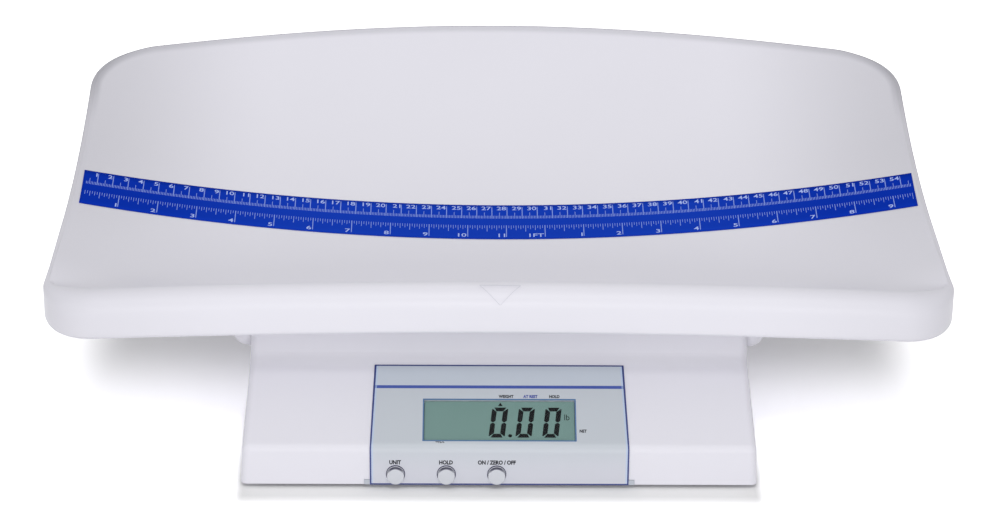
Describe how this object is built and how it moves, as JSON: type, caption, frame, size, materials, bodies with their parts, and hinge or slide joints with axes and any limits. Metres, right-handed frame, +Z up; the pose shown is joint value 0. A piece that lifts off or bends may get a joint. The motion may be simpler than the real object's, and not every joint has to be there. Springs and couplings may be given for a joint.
{
  "type": "digital baby weighing scale",
  "caption": "White digital baby scale: a wide curved tray with a blue ruler tape on a low housing with a sloping display panel and three round buttons.",
  "frame": {"origin": "under the middle of the whole object, on the surface that it stands on", "axes": "+X to the right along the tray's length, the display faces -Y, +Z up"},
  "size_m": [0.558, 0.4034, 0.186],
  "materials": {
    "white_shell": "moulded, fine satin",
    "blue_print": "printed vinyl",
    "zinc_steel": "zinc plated",
    "cell_aluminium": "milled",
    "lead_sheath": "matt",
    "foot_rubber": "matt",
    "panel_plastic": "matt",
    "panel_film": "satin film",
    "clear_window": "clear",
    "lcd": "polariser",
    "black_plastic": "matt",
    "board_laminate": "solder mask",
    "battery_jacket": "printed sleeve",
    "contact_metal": "nickel plated",
    "button_plastic": "satin"
  },
  "bodies": {
    "base": {"load_cell": "cell_aluminium", "lower_spacer": "cell_aluminium", "lower_bolts": "zinc_steel", "overload_stop_screw": "zinc_steel", "overload_stop_nut": "zinc_steel", "chassis_plate": "zinc_steel", "chassis_screws": "zinc_steel", "load_cell_lead": "lead_sheath", "upper_housing": "white_shell", "bottom_cover": "white_shell", "housing_screws": "zinc_steel", "rubber_feet": "foot_rubber", "display_bezel": "panel_plastic", "display_overlay": "panel_film", "display_window": "clear_window", "lcd_glass": "lcd", "lcd_holder": "black_plastic", "main_board": "board_laminate", "board_components": "black_plastic", "board_screws": "zinc_steel", "key_board": "board_laminate", "key_switches": "black_plastic", "battery_box": "black_plastic", "batteries": "battery_jacket", "battery_contacts": "contact_metal", "power_inlet": "black_plastic"},
    "weighing_deck": {"tray": "white_shell", "ruler_tape": "blue_print", "weighing_platform": "white_shell", "carrier_plate": "zinc_steel", "tray_screws": "zinc_steel", "upper_spacer": "cell_aluminium", "upper_bolts": "zinc_steel"},
    "unit_key": {"unit_button": "button_plastic", "unit_plunger": "black_plastic"},
    "hold_key": {"hold_button": "button_plastic", "hold_plunger": "black_plastic"},
    "zero_key": {"zero_button": "button_plastic", "zero_plunger": "black_plastic"},
    "door": {"battery_door": "white_shell"}
  },
  "joints": [
    {"name": "weigh_deflection", "type": "slide", "parent": "base", "child": "weighing_deck", "axis": [0, 0, -1], "range_m": [0, 0.0005], "stiffness_N_per_m": 390000, "deforming": ["load_cell"]},
    {"name": "unit_press", "type": "slide", "parent": "base", "child": "unit_key", "axis": [0, 1, 0], "range_m": [0, 0.0006], "stiffness_N_per_m": 3000},
    {"name": "hold_press", "type": "slide", "parent": "base", "child": "hold_key", "axis": [0, 1, 0], "range_m": [0, 0.0006], "stiffness_N_per_m": 3000},
    {"name": "zero_press", "type": "slide", "parent": "base", "child": "zero_key", "axis": [0, 1, 0], "range_m": [0, 0.0006], "stiffness_N_per_m": 3000},
    {"name": "door_slide", "type": "slide", "parent": "base", "child": "door", "axis": [0, 1, 0], "range_m": [0, 0.055]}
  ]
}
